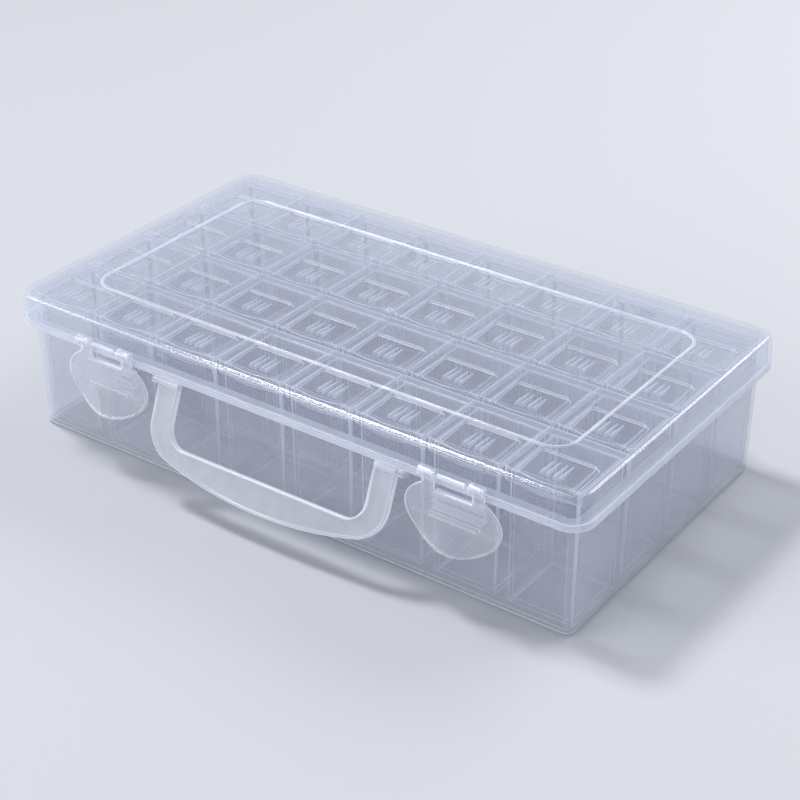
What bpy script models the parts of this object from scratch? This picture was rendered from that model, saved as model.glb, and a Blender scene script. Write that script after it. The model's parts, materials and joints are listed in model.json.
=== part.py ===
"""Compartment organizer box: a clear case with a hinged lid, two front latches and a carry
handle, holding a grid of small boxes with a flip-up lid each.

Metres, +Z up, the origin under the middle of the base. The front, with the latches and the
handle, faces -Y, and X runs along the front.
"""

import math

import bmesh
import bpy
from mathutils import Matrix

# Fits
CLEARANCE = 0.0003  # gap between two pieces that touch or turn in each other
OVERRUN = 0.002  # how far a cutter passes the face that it cuts
SINK = 0.0004  # how far a block reaches into the wall that carries it
WELD = 0.000001  # points of one outline that lie closer than this are joined

# Grid of small boxes
COLUMNS = 8
ROWS = 4
COLUMN_GAP = 0.0004  # between the small lids of two neighbours along the front
ROW_GAP = 0.0005  # the same, front to back

# Small box, outside sizes at its mouth
BOX_WIDTH = 0.0227
BOX_DEPTH = 0.0247
BOX_HEIGHT = 0.0453
BOX_WALL = 0.0009
BOX_CORNER = 0.0020
BOX_DRAFT = 0.0005  # how far each side leans in towards the bottom
BOX_NOTCH_DROP = 0.0018  # the front wall is lower where the small lid dips

# Bridge at floor level that makes two small boxes one moulding
BRIDGE_WIDTH = 0.008
BRIDGE_HEIGHT = 0.0005

# Small lid
CAP_SIDE_REACH = 0.0014  # how far it stands out past the box on either side
CAP_THICKNESS = 0.0011
CAP_BARREL_RADIUS = 0.0012
CAP_SKIRT_WALL = 0.0007
CAP_SKIRT_DROP = 0.0035
CAP_CORNER = 0.0010
CAP_BOW = 0.0012  # how far the middle of the front edge bulges forward
CAP_BOW_WIDTH = 0.0150
WINDOW_SIDE = 0.00375  # plain band left of and right of the finger window
WINDOW_FRONT = 0.0009  # from the front corner line back to the window
WINDOW_DEPTH = 0.0133
WINDOW_BACK_SINK = 0.0008
WINDOW_FRONT_SINK = 0.0017
WINDOW_FLOOR = 0.0007
WINDOW_WALL = 0.0008
RIB_SPREADS = (0.0012, 0.0030)  # ribs stand in two pairs, this far from the middle
RIB_WIDTH = 0.0006
RIB_LENGTH = 0.0075
RIB_HEIGHT = 0.0006
RIB_BACK = 0.0028  # from the back of the window to the ribs

# Case base
BASE_WALL = 0.0010
BASE_CORNER = 0.0035
FOOT_ROUND = 0.0012
RIM_REACH = 0.0038  # how far the rim stands out from the wall
RIM_DROP = 0.0032  # height of the rim's turned-down lip

# Case lid
LID_SKIRT = 0.0081  # from its top face down to the seam
LID_WALL = 0.0012
LID_DRAFT = 0.0004
LID_ROUND = 0.0010
LID_ROOM = 0.0004  # from the small lids up to the case lid
RIDGE_MARGIN_X = 0.0171  # from the edge of the case lid in to the raised ridge
RIDGE_MARGIN_Y = 0.0184
RIDGE_CORNER = 0.0080
RIDGE_WIDTH = 0.0012
RIDGE_HEIGHT = 0.0005
GATE_RADIUS = 0.0011
GATE_HEIGHT = 0.0005

# Back hinges
HINGE_SPREAD = 0.0660  # from the middle to each hinge
HINGE_RADIUS = 0.0017
HINGE_PIN_RADIUS = 0.0008
HINGE_LID_KNUCKLE = 0.0100
HINGE_BASE_KNUCKLE = 0.0037

# Carry handle
HANDLE_HALF_WIDTH = 0.0453
HANDLE_LEG = 0.0080
HANDLE_REACH = 0.0288  # from its axis to the lowest point of the grip
HANDLE_GRIP = 0.0100
HANDLE_CORNER = 0.0120
HANDLE_WINDOW_CORNER = 0.0065
HANDLE_THICKNESS = 0.0022
HANDLE_PANEL_EDGE = 0.0012  # raised edge round its sunk face
HANDLE_PANEL_SINK = 0.0006
HANDLE_KNUCKLE_RADIUS = 0.0014
HANDLE_PIN_RADIUS = 0.0007
HANDLE_RIM_GAP = 0.0004  # from the rim's lip down to the handle's knuckles
HANDLE_TILT = math.radians(22)  # how far it leans out at rest
EAR_RADIUS = 0.0015
EAR_WIDTH = 0.0022
HANDLE_TO_LATCH = 0.0016

# Latches
LATCH_HALF_WIDTH = 0.0165
LATCH_DISC_CENTRE = 0.0124  # from the latch's axis down to the middle of its disc
LATCH_DISC_RISE = 0.0103
LATCH_DISC_DROP = 0.0119
LATCH_THICKNESS = 0.0012
LATCH_FLARE = 0.0030  # how far its finger tongue stands out at the bottom
LATCH_FLARE_DROP = 0.0075
LATCH_FLARE_HALF_WIDTH = 0.0125
LATCH_FLARE_POWER = 1.4  # how late the tongue starts to stand out on the way down
FLARE_WIDTH_SHARES = (-1, -0.6, -0.2, 0.2, 0.6, 1)  # folds across the tongue's half width
FLARE_HEIGHT_SHARES = (0.3, 0.55, 0.8, 1)  # folds up its height
LATCH_AXIS_RISE = 0.0012  # from the top of the base up to the latch's axis
LATCH_KNUCKLE_RADIUS = 0.0016
LATCH_BAR_RADIUS = 0.0007
LATCH_ARMS_HALF_WIDTH = 0.0109
LATCH_ARM = 0.0047  # width of each arm's knuckle
LATCH_ARM_STEP = 0.0004  # how far the arm's plate stays in from the sides of its knuckle
LATCH_SLOT_DROP = 0.0059  # from the latch's axis down to the foot of the slot between its arms
LATCH_LUG = 0.0012
HOOK_HEIGHT = 0.0012
HOOK_REACH = 0.0008
CATCH_TOP = 0.0084  # from the latch's axis down to the top of the catch
CATCH_HEIGHT = 0.0055
CATCH_WIDTH = 0.0170
CATCH_RIBS = 3
CATCH_RIB_HEIGHT = 0.0011
CATCH_RIB_REACH = 0.0010

# Smoothness
CASE_CORNER_STEPS = 6
BOX_CORNER_STEPS = 2
ROUND_SIDES = 12
ARC_STEPS = 6
SHARP_ANGLE = math.radians(35)  # edges that turn more than this stay crisp

# Places that follow from the sizes above, small boxes first
CAP_WIDTH = BOX_WIDTH + 2 * CAP_SIDE_REACH
COLUMN_PITCH = CAP_WIDTH + COLUMN_GAP
CAP_FRONT = CLEARANCE + CAP_SKIRT_WALL  # from the box's front face to the lid's front corners
CAP_BACK = CAP_BARREL_RADIUS - BOX_WALL  # from the box's back face to the barrel's back
ROW_PITCH = CAP_BOW + CAP_FRONT + BOX_DEPTH + CAP_BACK + ROW_GAP
BOX_FRONT_Y = -(BOX_DEPTH + CAP_BACK - CAP_FRONT - CAP_BOW) / 2
BOX_BACK_Y = BOX_FRONT_Y + BOX_DEPTH
CAP_HINGE_Y = BOX_BACK_Y - BOX_WALL
BOX_BOTTOM_Z = BASE_WALL + CLEARANCE
BOX_RIM_Z = BOX_BOTTOM_Z + BOX_HEIGHT
CAP_UNDER_Z = BOX_RIM_Z + CLEARANCE
CAP_TOP_Z = CAP_UNDER_Z + CAP_THICKNESS
CAP_HINGE_Z = CAP_TOP_Z - CAP_BARREL_RADIUS

# The case round them
GRID_HALF_X = (COLUMNS - 1) * COLUMN_PITCH / 2
GRID_HALF_Y = (ROWS - 1) * ROW_PITCH / 2
WALL_X = GRID_HALF_X + BOX_WIDTH / 2 + CLEARANCE + BASE_WALL
WALL_Y = GRID_HALF_Y + BOX_BACK_Y + CLEARANCE + BASE_WALL
RIM_X = WALL_X + RIM_REACH
RIM_Y = WALL_Y + RIM_REACH
LID_TOP_Z = CAP_TOP_Z + LID_ROOM + LID_WALL
LID_BOTTOM_Z = LID_TOP_Z - LID_SKIRT
BASE_TOP_Z = LID_BOTTOM_Z - CLEARANCE
RIM_BOTTOM_Z = BASE_TOP_Z - RIM_DROP
HINGE_Y = RIM_Y + CLEARANCE + HINGE_RADIUS
HINGE_Z = (LID_BOTTOM_Z + BASE_TOP_Z) / 2

# The fittings on the front
HANDLE_AXIS_Y = -RIM_Y + EAR_RADIUS
HANDLE_AXIS_Z = RIM_BOTTOM_Z - HANDLE_RIM_GAP - HANDLE_KNUCKLE_RADIUS
EAR_X = HANDLE_HALF_WIDTH + CLEARANCE
LATCH_X = EAR_X + EAR_WIDTH + HANDLE_TO_LATCH + LATCH_HALF_WIDTH
LATCH_AXIS_Y = -RIM_Y - CLEARANCE - LATCH_KNUCKLE_RADIUS
LATCH_AXIS_Z = BASE_TOP_Z + LATCH_AXIS_RISE


def clear_scene():
    for obj in list(bpy.data.objects):
        bpy.data.objects.remove(obj, do_unlink=True)


def new_collection(name):
    collection = bpy.data.collections.new(name)
    bpy.context.scene.collection.children.link(collection)
    return collection


def plastic(name, colour, roughness):
    """A clear moulded plastic."""
    material = bpy.data.materials.new(name)
    material.use_nodes = True
    shader = material.node_tree.nodes["Principled BSDF"]
    shader.inputs["Base Color"].default_value = (*colour, 1)
    shader.inputs["Roughness"].default_value = roughness
    shader.inputs["Metallic"].default_value = 0
    shader.inputs["Transmission Weight"].default_value = 0.6
    return material


def object_from(bm, name, collection):
    mesh = bpy.data.meshes.new(name)
    bm.to_mesh(mesh)
    bm.free()
    obj = bpy.data.objects.new(name, mesh)
    collection.objects.link(obj)
    return obj


def rounded_rectangle(half_x, half_y, radius, steps, z):
    """Points of a rounded rectangle at height z, anticlockwise seen from above."""
    points = []
    corners = ((1, -1, -90), (1, 1, 0), (-1, 1, 90), (-1, -1, 180))
    for side_x, side_y, start in corners:
        for step in range(steps + 1):
            angle = math.radians(start + 90 * step / steps)
            x = side_x * (half_x - radius) + radius * math.cos(angle)
            y = side_y * (half_y - radius) + radius * math.sin(angle)
            points.append((x, y, z))
    return points


def lofted(bm, loops, ring=False):
    """Skins the loops in turn and returns their vertices, the first loop's first."""
    rows = [[bm.verts.new(point) for point in loop] for loop in loops]
    pairs = list(zip(rows, rows[1:]))
    if ring:
        pairs.append((rows[-1], rows[0]))
    for lower, upper in pairs:
        for i, corner in enumerate(lower):
            j = (i + 1) % len(lower)
            bm.faces.new((corner, lower[j], upper[j], upper[i]))
    return rows


def block(name, low, high):
    """A box from one corner to the opposite one."""
    bm = bmesh.new()
    size = [b - a for a, b in zip(low, high)]
    middle = [(a + b) / 2 for a, b in zip(low, high)]
    bmesh.ops.create_cube(bm, size=1)
    bmesh.ops.transform(bm, matrix=Matrix.Translation(middle) @ Matrix.Diagonal((*size, 1)), verts=bm.verts)
    return object_from(bm, name, CUTTERS)


def sloped_block(name, xs, ys, lows, highs):
    """A box whose bottom and top each run at a slope from the first y to the second."""
    tool = block(name, (xs[0], ys[0], 0), (xs[1], ys[1], 1))
    for vertex in tool.data.vertices:
        end = 0 if vertex.co.y < sum(ys) / 2 else 1
        vertex.co.z = (lows if vertex.co.z < 0.5 else highs)[end]
    return tool


def rod(name, radius, xs, y, z):
    """A cylinder along X."""
    bm = bmesh.new()
    bmesh.ops.create_cone(
        bm, cap_ends=True, segments=ROUND_SIDES, radius1=radius, radius2=radius, depth=xs[1] - xs[0]
    )
    place = Matrix.Translation((sum(xs) / 2, y, z)) @ Matrix.Rotation(math.radians(90), 4, "Y")
    bmesh.ops.transform(bm, matrix=place, verts=bm.verts)
    return object_from(bm, name, CUTTERS)


def arc(centre_x, centre_y, radius, start, end, steps):
    """Points along an arc, its angles in degrees."""
    angles = [math.radians(start + (end - start) * step / steps) for step in range(steps + 1)]
    return [(centre_x + radius * math.cos(a), centre_y + radius * math.sin(a)) for a in angles]


def slab(name, outline, thickness):
    """A flat outline given thickness about its own plane."""
    curve = bpy.data.curves.new(name, "CURVE")
    curve.dimensions = "2D"
    curve.fill_mode = "BOTH"
    curve.extrude = thickness / 2
    spline = curve.splines.new("POLY")
    spline.points.add(len(outline) - 1)
    for point, (x, y) in zip(spline.points, outline):
        point.co = (x, y, 0, 1)
    spline.use_cyclic_u = True
    flat = bpy.data.objects.new(name, curve)
    CUTTERS.objects.link(flat)
    mesh = evaluated_mesh(flat)
    bpy.data.objects.remove(flat)
    bm = bmesh.new()
    bm.from_mesh(mesh)
    bmesh.ops.remove_doubles(bm, verts=bm.verts, dist=WELD)
    bmesh.ops.recalc_face_normals(bm, faces=bm.faces)
    return object_from(bm, name, CUTTERS)


def profile(name, outline, xs):
    """A side view, its points given as y and z, run along X between two places."""
    upright = Matrix.Rotation(math.radians(90), 4, "Z") @ Matrix.Rotation(math.radians(90), 4, "X")
    return moved(slab(name, outline, xs[1] - xs[0]), Matrix.Translation((sum(xs) / 2, 0, 0)) @ upright)


def evaluated_mesh(obj):
    graph = bpy.context.evaluated_depsgraph_get()
    return bpy.data.meshes.new_from_object(obj.evaluated_get(graph))


def moved(obj, matrix):
    obj.data.transform(matrix)
    return obj


def solidified(obj, thickness):
    """Thickens an open surface to the side away from its normals."""
    shell = obj.modifiers.new("Wall", "SOLIDIFY")
    shell.thickness = thickness
    shell.offset = -1
    shell.use_even_offset = True
    shell.use_quality_normals = True


def combined(obj, operation, *tools):
    """Joins, cuts or keeps what is common, with each tool in turn."""
    for tool in tools:
        tool.hide_render = True
        tool.display_type = "WIRE"
        step = obj.modifiers.new(tool.name, "BOOLEAN")
        step.operation = operation
        step.object = tool


def baked(obj, pivot=(0, 0, 0)):
    """The object's finished mesh with its origin at the pivot, and the object removed."""
    mesh = evaluated_mesh(obj)
    mesh.transform(Matrix.Translation([-value for value in pivot]))
    bpy.data.objects.remove(obj)
    return mesh


def piece(name, mesh, material, place, parent, turn=0.0):
    """A named sub-part with its origin at the place, which is in the whole object's frame."""
    mesh.materials.clear()
    mesh.materials.append(material)
    mesh.shade_smooth()
    mesh.set_sharp_from_angle(angle=SHARP_ANGLE)
    obj = bpy.data.objects.new(name, mesh)
    PARTS.objects.link(obj)
    obj.parent = parent
    offset = parent.matrix_world.translation
    obj.location = [value - start for value, start in zip(place, offset)]
    obj.rotation_euler = (turn, 0, 0)
    bpy.context.view_layer.update()
    return obj


def small_box_shell(name):
    """One open box standing at the grid's origin."""
    middle_y = (BOX_FRONT_Y + BOX_BACK_Y) / 2
    sizes = ((BOX_DRAFT, BOX_BOTTOM_Z), (0, BOX_RIM_Z))
    loops = [
        rounded_rectangle(
            BOX_WIDTH / 2 - lean, BOX_DEPTH / 2 - lean, BOX_CORNER, BOX_CORNER_STEPS, z
        )
        for lean, z in sizes
    ]
    bm = bmesh.new()
    rows = lofted(bm, loops)
    bm.faces.new(reversed(rows[0]))
    shell = moved(object_from(bm, name, CUTTERS), Matrix.Translation((0, middle_y, 0)))
    solidified(shell, BOX_WALL)
    reach = BOX_WIDTH / 2 + OVERRUN
    seat = rod("hinge_seat", CAP_BARREL_RADIUS + CLEARANCE, (-reach, reach), CAP_HINGE_Y, CAP_HINGE_Z)
    pan = CAP_WIDTH / 2 - WINDOW_SIDE + WINDOW_WALL + CLEARANCE
    notch = block(
        "front_notch",
        (-pan, BOX_FRONT_Y - OVERRUN, BOX_RIM_Z - BOX_NOTCH_DROP),
        (pan, BOX_FRONT_Y + BOX_WALL + OVERRUN, BOX_RIM_Z + OVERRUN),
    )
    combined(shell, "DIFFERENCE", seat, notch)
    return shell


def box_pair_mesh():
    """Two small boxes, one behind the other, with the bridge between their floors."""
    front = small_box_shell("front_box")
    back = bpy.data.objects.new("back_box", baked(small_box_shell("back_box_shell")))
    CUTTERS.objects.link(back)
    moved(back, Matrix.Translation((0, ROW_PITCH, 0)))
    floor_middle = BOX_BOTTOM_Z + BOX_WALL / 2
    bridge = block(
        "bridge",
        (-BRIDGE_WIDTH / 2, BOX_BACK_Y - BOX_DRAFT - SINK, floor_middle - BRIDGE_HEIGHT / 2),
        (
            BRIDGE_WIDTH / 2,
            ROW_PITCH + BOX_FRONT_Y + BOX_DRAFT + SINK,
            floor_middle + BRIDGE_HEIGHT / 2,
        ),
    )
    combined(front, "UNION", bridge, back)
    return baked(front)


def small_lid_section():
    """Side view of the small lid, front to back as x and height as y."""
    front = BOX_FRONT_Y - CAP_FRONT - CAP_BOW - OVERRUN
    skirt_back = BOX_FRONT_Y - CLEARANCE
    under_angle = math.degrees(math.asin((CAP_UNDER_Z - CAP_HINGE_Z) / CAP_BARREL_RADIUS))
    barrel = arc(CAP_HINGE_Y, CAP_HINGE_Z, CAP_BARREL_RADIUS, 90, -180 - under_angle, ROUND_SIDES - 2)
    skirt_bottom = CAP_UNDER_Z - CAP_SKIRT_DROP
    return [
        (front, CAP_TOP_Z),
        *barrel,
        (skirt_back, CAP_UNDER_Z),
        (skirt_back, skirt_bottom),
        (front, skirt_bottom),
    ]


def small_lid_plan():
    """The small lid seen from above, with its bowed front edge."""
    half = CAP_WIDTH / 2
    front = BOX_FRONT_Y - CAP_FRONT
    back = BOX_BACK_Y + CAP_BACK + OVERRUN
    bow = []
    steps = ARC_STEPS + 2
    for step in range(steps + 1):
        along = 2 * step / steps - 1
        bulge = (1 + math.cos(math.pi * along)) / 2
        bow.append((along * CAP_BOW_WIDTH / 2, front - CAP_BOW * bulge))
    left = arc(-half + CAP_CORNER, front + CAP_CORNER, CAP_CORNER, 180, 270, BOX_CORNER_STEPS)
    right = arc(half - CAP_CORNER, front + CAP_CORNER, CAP_CORNER, 270, 360, BOX_CORNER_STEPS)
    return [(-half, back), *left, *bow, *right, (half, back)]


def small_lid_mesh():
    """A flip-up lid: a plate with a hinge barrel, a front skirt and a sunk, ribbed finger window."""
    lid = profile("cap_section", small_lid_section(), (-CAP_WIDTH / 2, CAP_WIDTH / 2))
    middle_z = (CAP_TOP_Z + CAP_UNDER_Z - CAP_SKIRT_DROP) / 2
    plan = slab("cap_plan", small_lid_plan(), CAP_TOP_Z + CAP_SKIRT_DROP - CAP_UNDER_Z + 2 * OVERRUN)
    combined(lid, "INTERSECT", moved(plan, Matrix.Translation((0, 0, middle_z))))

    half = CAP_WIDTH / 2 - WINDOW_SIDE
    front = BOX_FRONT_Y - CAP_FRONT + WINDOW_FRONT
    back = front + WINDOW_DEPTH
    slope = (WINDOW_FRONT_SINK - WINDOW_BACK_SINK) / WINDOW_DEPTH

    def floor(y):
        return CAP_TOP_Z - WINDOW_BACK_SINK - slope * (back - y)

    pan_ys = (BOX_FRONT_Y - CLEARANCE - SINK, back + WINDOW_WALL)
    pan = sloped_block(
        "pan",
        (-half - WINDOW_WALL, half + WINDOW_WALL),
        pan_ys,
        [floor(y) - WINDOW_FLOOR for y in pan_ys],
        [CAP_UNDER_Z + SINK] * 2,
    )
    ys = (front, back)
    top = CAP_TOP_Z + OVERRUN
    window = sloped_block("window", (-half, half), ys, [floor(y) for y in ys], [top, top])
    combined(lid, "UNION", pan)
    combined(lid, "DIFFERENCE", window)
    rib_ys = (back - RIB_BACK - RIB_LENGTH, back - RIB_BACK)
    for spread in RIB_SPREADS:
        for side in (-1, 1):
            xs = (side * spread - RIB_WIDTH / 2, side * spread + RIB_WIDTH / 2)
            lows = [floor(y) - SINK for y in rib_ys]
            highs = [floor(y) + RIB_HEIGHT for y in rib_ys]
            combined(lid, "UNION", sloped_block("rib", xs, rib_ys, lows, highs))
    return baked(lid, (0, CAP_HINGE_Y, CAP_HINGE_Z))


def base_shell():
    """The tub with its out-turned rim, as an open surface with a wall."""
    chamfer = FOOT_ROUND * (1 - math.sqrt(0.5))
    foot = ((FOOT_ROUND, 0), (chamfer, chamfer), (0, FOOT_ROUND))
    loops = []
    for inset, z in foot:
        lean = BOX_DRAFT + inset
        loops.append(
            rounded_rectangle(WALL_X - lean, WALL_Y - lean, BASE_CORNER, CASE_CORNER_STEPS, z)
        )
    ledge_z = BASE_TOP_Z - BASE_WALL
    lip = RIM_REACH - BASE_WALL
    for reach, z in ((0, ledge_z), (lip, ledge_z), (lip, RIM_BOTTOM_Z)):
        loops.append(
            rounded_rectangle(
                WALL_X + reach, WALL_Y + reach, BASE_CORNER + reach, CASE_CORNER_STEPS, z
            )
        )
    bm = bmesh.new()
    rows = lofted(bm, loops)
    bm.faces.new(reversed(rows[0]))
    shell = object_from(bm, "base_shell", CUTTERS)
    solidified(shell, BASE_WALL)
    return shell


def add_base_knuckles(shell):
    """The bored knuckles at the back, two to a hinge."""
    inside = RIM_Y - BASE_WALL / 2
    top = BASE_TOP_Z - SINK
    meet = math.degrees(math.asin((HINGE_Z - top) / HINGE_RADIUS))
    eye = arc(HINGE_Y, HINGE_Z, HINGE_RADIUS, 270, 540 + meet, ROUND_SIDES)
    outline = [(inside, top), (inside, HINGE_Z - HINGE_RADIUS), *eye]
    for side in (-1, 1):
        middle = side * HINGE_SPREAD
        for hand in (-1, 1):
            start = middle + hand * (HINGE_LID_KNUCKLE / 2 + CLEARANCE)
            xs = sorted((start, start + hand * HINGE_BASE_KNUCKLE))
            combined(shell, "UNION", profile("base_knuckle", outline, xs))
        reach = HINGE_LID_KNUCKLE / 2 + HINGE_BASE_KNUCKLE + OVERRUN
        xs = (middle - reach, middle + reach)
        bore = HINGE_PIN_RADIUS + CLEARANCE
        combined(shell, "DIFFERENCE", rod("base_bore", bore, xs, HINGE_Y, HINGE_Z))


def add_handle_ears(shell):
    """The bored ears that the handle's pins turn in."""
    inside = -WALL_Y + BASE_WALL / 2
    lip = -RIM_Y + BASE_WALL / 2
    top = BASE_TOP_Z - BASE_WALL + SINK
    eye = arc(HANDLE_AXIS_Y, HANDLE_AXIS_Z, EAR_RADIUS, 180, 270, ARC_STEPS - 2)
    outline = [
        (inside, top),
        (lip, top),
        (lip, RIM_BOTTOM_Z + SINK),
        *eye,
        (inside, HANDLE_AXIS_Z - EAR_RADIUS),
    ]
    for side in (-1, 1):
        xs = sorted((side * EAR_X, side * (EAR_X + EAR_WIDTH)))
        combined(shell, "UNION", profile("ear", outline, xs))
        through = (xs[0] - CLEARANCE / 2, xs[1] + OVERRUN / 2)
        if side < 0:
            through = (xs[0] - OVERRUN / 2, xs[1] + CLEARANCE / 2)
        bore = HANDLE_PIN_RADIUS + CLEARANCE
        combined(shell, "DIFFERENCE", rod("ear_bore", bore, through, HANDLE_AXIS_Y, HANDLE_AXIS_Z))


def add_catches(shell):
    """The ribbed blocks on the front wall that the latches snap over."""
    top = LATCH_AXIS_Z - CATCH_TOP
    bottom = top - CATCH_HEIGHT
    face = -RIM_Y + HOOK_REACH
    back = face + CATCH_RIB_REACH
    inside = -WALL_Y + BOX_DRAFT + SINK
    step = (CATCH_HEIGHT - CATCH_RIB_HEIGHT) / (CATCH_RIBS - 1)
    outline = [(inside, bottom), (inside, top)]
    for rib in range(CATCH_RIBS):
        high = top - rib * step
        low = high - CATCH_RIB_HEIGHT
        grooves = ((back, high), (face, high), (face, low), (back, low))
        first = 1 if rib == 0 else 0
        last = 3 if rib == CATCH_RIBS - 1 else 4
        outline += grooves[first:last]
    for side in (-1, 1):
        xs = (side * LATCH_X - CATCH_WIDTH / 2, side * LATCH_X + CATCH_WIDTH / 2)
        combined(shell, "UNION", profile("catch", outline, xs))


def base_mesh():
    shell = base_shell()
    add_base_knuckles(shell)
    add_handle_ears(shell)
    add_catches(shell)
    return baked(shell)


def lid_shell():
    """The case lid's plate and skirt."""
    turn = LID_ROUND * (1 - math.sqrt(0.5))
    rows = (
        (0, LID_BOTTOM_Z),
        (LID_DRAFT, LID_TOP_Z - LID_ROUND),
        (LID_DRAFT + turn, LID_TOP_Z - turn),
        (LID_DRAFT + LID_ROUND, LID_TOP_Z),
    )
    corner = BASE_CORNER + RIM_REACH
    loops = [
        rounded_rectangle(RIM_X - inset, RIM_Y - inset, corner - inset, CASE_CORNER_STEPS, z)
        for inset, z in rows
    ]
    bm = bmesh.new()
    skins = lofted(bm, loops)
    bm.faces.new(skins[-1])
    shell = object_from(bm, "lid_shell", CUTTERS)
    solidified(shell, LID_WALL)
    return shell


def add_lid_marks(shell):
    """The raised ridge round the lid's top and the moulding gate at its middle."""
    half_x = RIM_X - RIDGE_MARGIN_X
    half_y = RIM_Y - RIDGE_MARGIN_Y
    low = LID_TOP_Z - SINK
    high = LID_TOP_Z + RIDGE_HEIGHT
    slant = RIDGE_WIDTH / 4
    section = ((0, low), (slant, high), (RIDGE_WIDTH - slant, high), (RIDGE_WIDTH, low))
    loops = [
        rounded_rectangle(half_x - inset, half_y - inset, RIDGE_CORNER - inset, CASE_CORNER_STEPS, z)
        for inset, z in section
    ]
    bm = bmesh.new()
    lofted(bm, loops, ring=True)
    ridge = object_from(bm, "ridge", CUTTERS)
    bm = bmesh.new()
    depth = GATE_HEIGHT + SINK
    bmesh.ops.create_cone(
        bm, cap_ends=True, segments=ROUND_SIDES, radius1=GATE_RADIUS, radius2=GATE_RADIUS / 2, depth=depth
    )
    gate = moved(object_from(bm, "gate", CUTTERS), Matrix.Translation((0, 0, low + depth / 2)))
    combined(shell, "UNION", ridge, gate)


def add_lid_knuckles(shell):
    """The solid knuckles at the back, each with a pin moulded on at both ends."""
    inside = RIM_Y - LID_WALL / 2
    low = LID_BOTTOM_Z + SINK
    meet = math.degrees(math.asin((low - HINGE_Z) / HINGE_RADIUS))
    eye = arc(HINGE_Y, HINGE_Z, HINGE_RADIUS, 180 - meet, 450, ROUND_SIDES)
    outline = [(inside, HINGE_Z + HINGE_RADIUS), (inside, low), *eye]
    half = HINGE_LID_KNUCKLE / 2
    for side in (-1, 1):
        middle = side * HINGE_SPREAD
        knuckle = profile("lid_knuckle", outline, (middle - half, middle + half))
        reach = half + CLEARANCE + HINGE_BASE_KNUCKLE
        pin = rod("lid_pin", HINGE_PIN_RADIUS, (middle - reach, middle + reach), HINGE_Y, HINGE_Z)
        combined(shell, "UNION", knuckle, pin)


def add_latch_bars(shell):
    """On the front skirt, two lugs for each latch with the bar that it turns on."""
    inner = LATCH_ARMS_HALF_WIDTH - LATCH_ARM - CLEARANCE
    for side in (-1, 1):
        middle = side * LATCH_X
        for hand in (-1, 1):
            xs = sorted((middle + hand * inner, middle + hand * (inner - LATCH_LUG)))
            high = 2 * LATCH_AXIS_Z - LID_BOTTOM_Z
            lug = block(
                "latch_lug",
                (xs[0], LATCH_AXIS_Y - LATCH_BAR_RADIUS, LID_BOTTOM_Z),
                (xs[1], -RIM_Y + LID_WALL - SINK, high),
            )
            combined(shell, "UNION", lug)
        xs = (middle - LATCH_ARMS_HALF_WIDTH, middle + LATCH_ARMS_HALF_WIDTH)
        combined(shell, "UNION", rod("latch_bar", LATCH_BAR_RADIUS, xs, LATCH_AXIS_Y, LATCH_AXIS_Z))


def lid_mesh():
    shell = lid_shell()
    add_lid_marks(shell)
    add_lid_knuckles(shell)
    add_latch_bars(shell)
    return baked(shell, (0, HINGE_Y, HINGE_Z))


def latch_flare(x, z):
    """How far forward the finger tongue stands at a point of the latch."""
    top = LATCH_DISC_CENTRE + LATCH_DISC_DROP - LATCH_FLARE_DROP
    down = max(0.0, (-z - top) / LATCH_FLARE_DROP)
    across = max(0.0, 1 - (x / LATCH_FLARE_HALF_WIDTH) ** 2)
    return LATCH_FLARE * down**LATCH_FLARE_POWER * across


def latch_plate():
    """The oval flap with its two arms and its lower middle drawn forward, about its own axis."""
    half = LATCH_ARMS_HALF_WIDTH - LATCH_ARM_STEP
    slot = LATCH_ARMS_HALF_WIDTH - LATCH_ARM + LATCH_ARM_STEP
    shoulder = math.acos(half / LATCH_HALF_WIDTH)
    start = math.pi - shoulder
    steps = 4 * ARC_STEPS
    outline = []
    for step in range(steps + 1):
        angle = start + (math.pi + 2 * shoulder) * step / steps
        height = LATCH_DISC_RISE if math.sin(angle) > 0 else LATCH_DISC_DROP
        outline.append((LATCH_HALF_WIDTH * math.cos(angle), height * math.sin(angle) - LATCH_DISC_CENTRE))
    arm_top = -LATCH_BAR_RADIUS
    for side in (1, -1):
        arm = [(side * half, arm_top), (side * slot, arm_top), (side * slot, -LATCH_SLOT_DROP)]
        outline += arm if side > 0 else reversed(arm)
    bm = bmesh.new()
    bm.faces.new([bm.verts.new((x, 0, z)) for x, z in outline])
    bottom = -LATCH_DISC_CENTRE - LATCH_DISC_DROP
    cuts = [((share * LATCH_FLARE_HALF_WIDTH, 0, 0), (1, 0, 0)) for share in FLARE_WIDTH_SHARES]
    for share in FLARE_HEIGHT_SHARES:
        cuts.append(((0, 0, bottom + share * LATCH_FLARE_DROP), (0, 0, 1)))
    for point, normal in cuts:
        everything = bm.verts[:] + bm.edges[:] + bm.faces[:]
        bmesh.ops.bisect_plane(bm, geom=everything, plane_co=point, plane_no=normal)
    back = LATCH_KNUCKLE_RADIUS
    for vertex in bm.verts:
        vertex.co.y = back - latch_flare(vertex.co.x, vertex.co.z)
    bmesh.ops.recalc_face_normals(bm, faces=bm.faces)
    if bm.faces[:][0].normal.y < 0:
        bmesh.ops.reverse_faces(bm, faces=bm.faces)
    plate = object_from(bm, "latch_plate", CUTTERS)
    solidified(plate, LATCH_THICKNESS)
    return plate


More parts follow.
